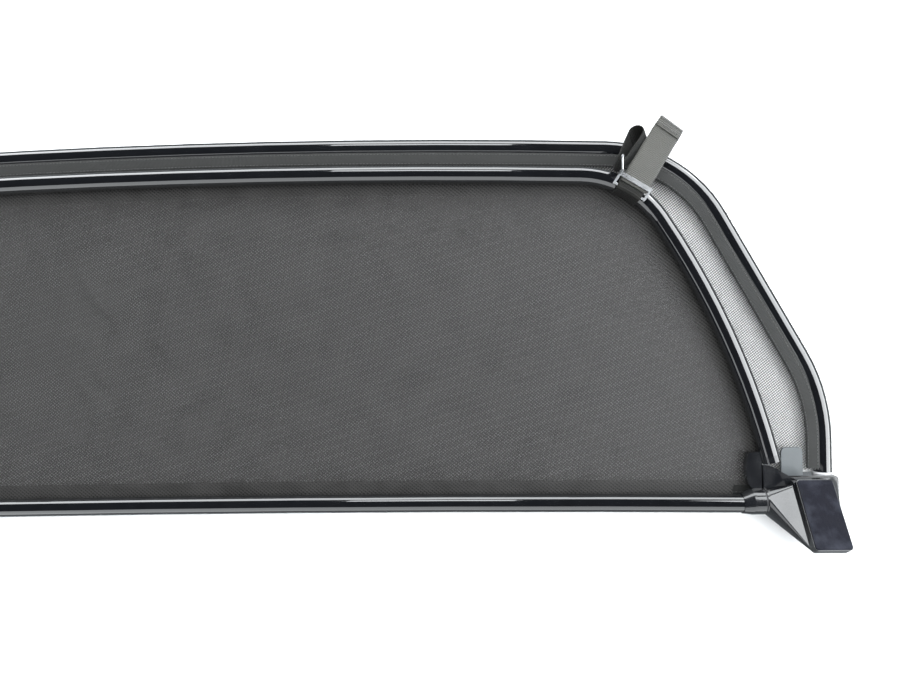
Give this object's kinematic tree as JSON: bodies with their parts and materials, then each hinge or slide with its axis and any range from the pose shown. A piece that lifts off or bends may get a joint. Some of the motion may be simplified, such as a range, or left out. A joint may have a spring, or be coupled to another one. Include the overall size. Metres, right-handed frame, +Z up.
{
  "type": "folding wind deflector",
  "caption": "Folding mesh wind screen for an open car: tube frames hinged along one long side, with feet and cinch straps, shown folded flat.",
  "frame": {"origin": "centre of the folded screen's bounding box, on the surface it lies on", "axes": "+X along the hinge line to the right-hand foot, +Y from the hinge to the frames' free top edges, +Z up, out of the folded panels"},
  "size_m": [1.103, 0.3742, 0.0771],
  "materials": {
    "frame_black": "gloss black enamel",
    "foot_black": "gloss black moulding",
    "mesh": "open plain-weave polyester mesh",
    "hem": "woven hem tape",
    "pad": "fine grained soft pad",
    "screw_steel": "plain steel",
    "clip": "satin moulding",
    "light_ring": "natural nylon",
    "washer": "black nylon",
    "webbing": "ribbed webbing",
    "buckle_metal": "brushed"
  },
  "bodies": {
    "outer_frame": {"outer_tube": "frame_black", "outer_rail": "frame_black", "outer_mesh": "mesh", "outer_hem": "hem", "foot_body_left": "foot_black", "foot_body_right": "foot_black", "pad_carrier_left": "foot_black", "pad_carrier_right": "foot_black", "foot_pad_left": "pad", "foot_pad_right": "pad", "pad_screws_left": "screw_steel", "pad_screws_right": "screw_steel", "tube_screws_left": "screw_steel", "tube_screws_right": "screw_steel", "mesh_clip_left": "clip", "mesh_clip_right": "clip", "socket_ring_left": "light_ring", "socket_ring_right": "light_ring", "hinge_pin_left": "screw_steel", "hinge_pin_right": "screw_steel", "hinge_washer_left": "washer", "hinge_washer_right": "washer"},
    "inner_frame": {"inner_tube": "frame_black", "inner_rail": "frame_black", "inner_mesh": "mesh", "inner_hem": "hem", "corner_casting_left": "foot_black", "corner_casting_right": "foot_black", "rail_collar_left": "foot_black", "rail_collar_right": "foot_black", "hinge_bush_left": "light_ring", "hinge_bush_right": "light_ring", "casting_screws_left": "screw_steel", "casting_screws_right": "screw_steel", "strap_anchor_left": "webbing", "strap_anchor_right": "webbing"},
    "strap_left": {"buckle_left": "buckle_metal", "strap_loop_left": "webbing", "strap_tail_left": "webbing"},
    "strap_right": {"buckle_right": "buckle_metal", "strap_loop_right": "webbing", "strap_tail_right": "webbing"}
  },
  "joints": [
    {"name": "panel_fold", "type": "hinge", "parent": "outer_frame", "child": "inner_frame", "pos_m": [0, -0.15386, 0.0283], "axis": [1, 0, 0], "range_deg": [0, 95]},
    {"name": "strap_swing_left", "type": "hinge", "parent": "inner_frame", "child": "strap_left", "pos_m": [-0.36435, 0.12155, 0.04], "axis": [0.848, 0.5299, 0], "range_deg": [0, 60]},
    {"name": "strap_swing_right", "type": "hinge", "parent": "inner_frame", "child": "strap_right", "pos_m": [0.36435, 0.12155, 0.04], "axis": [0.848, -0.5299, 0], "range_deg": [0, 60]}
  ]
}
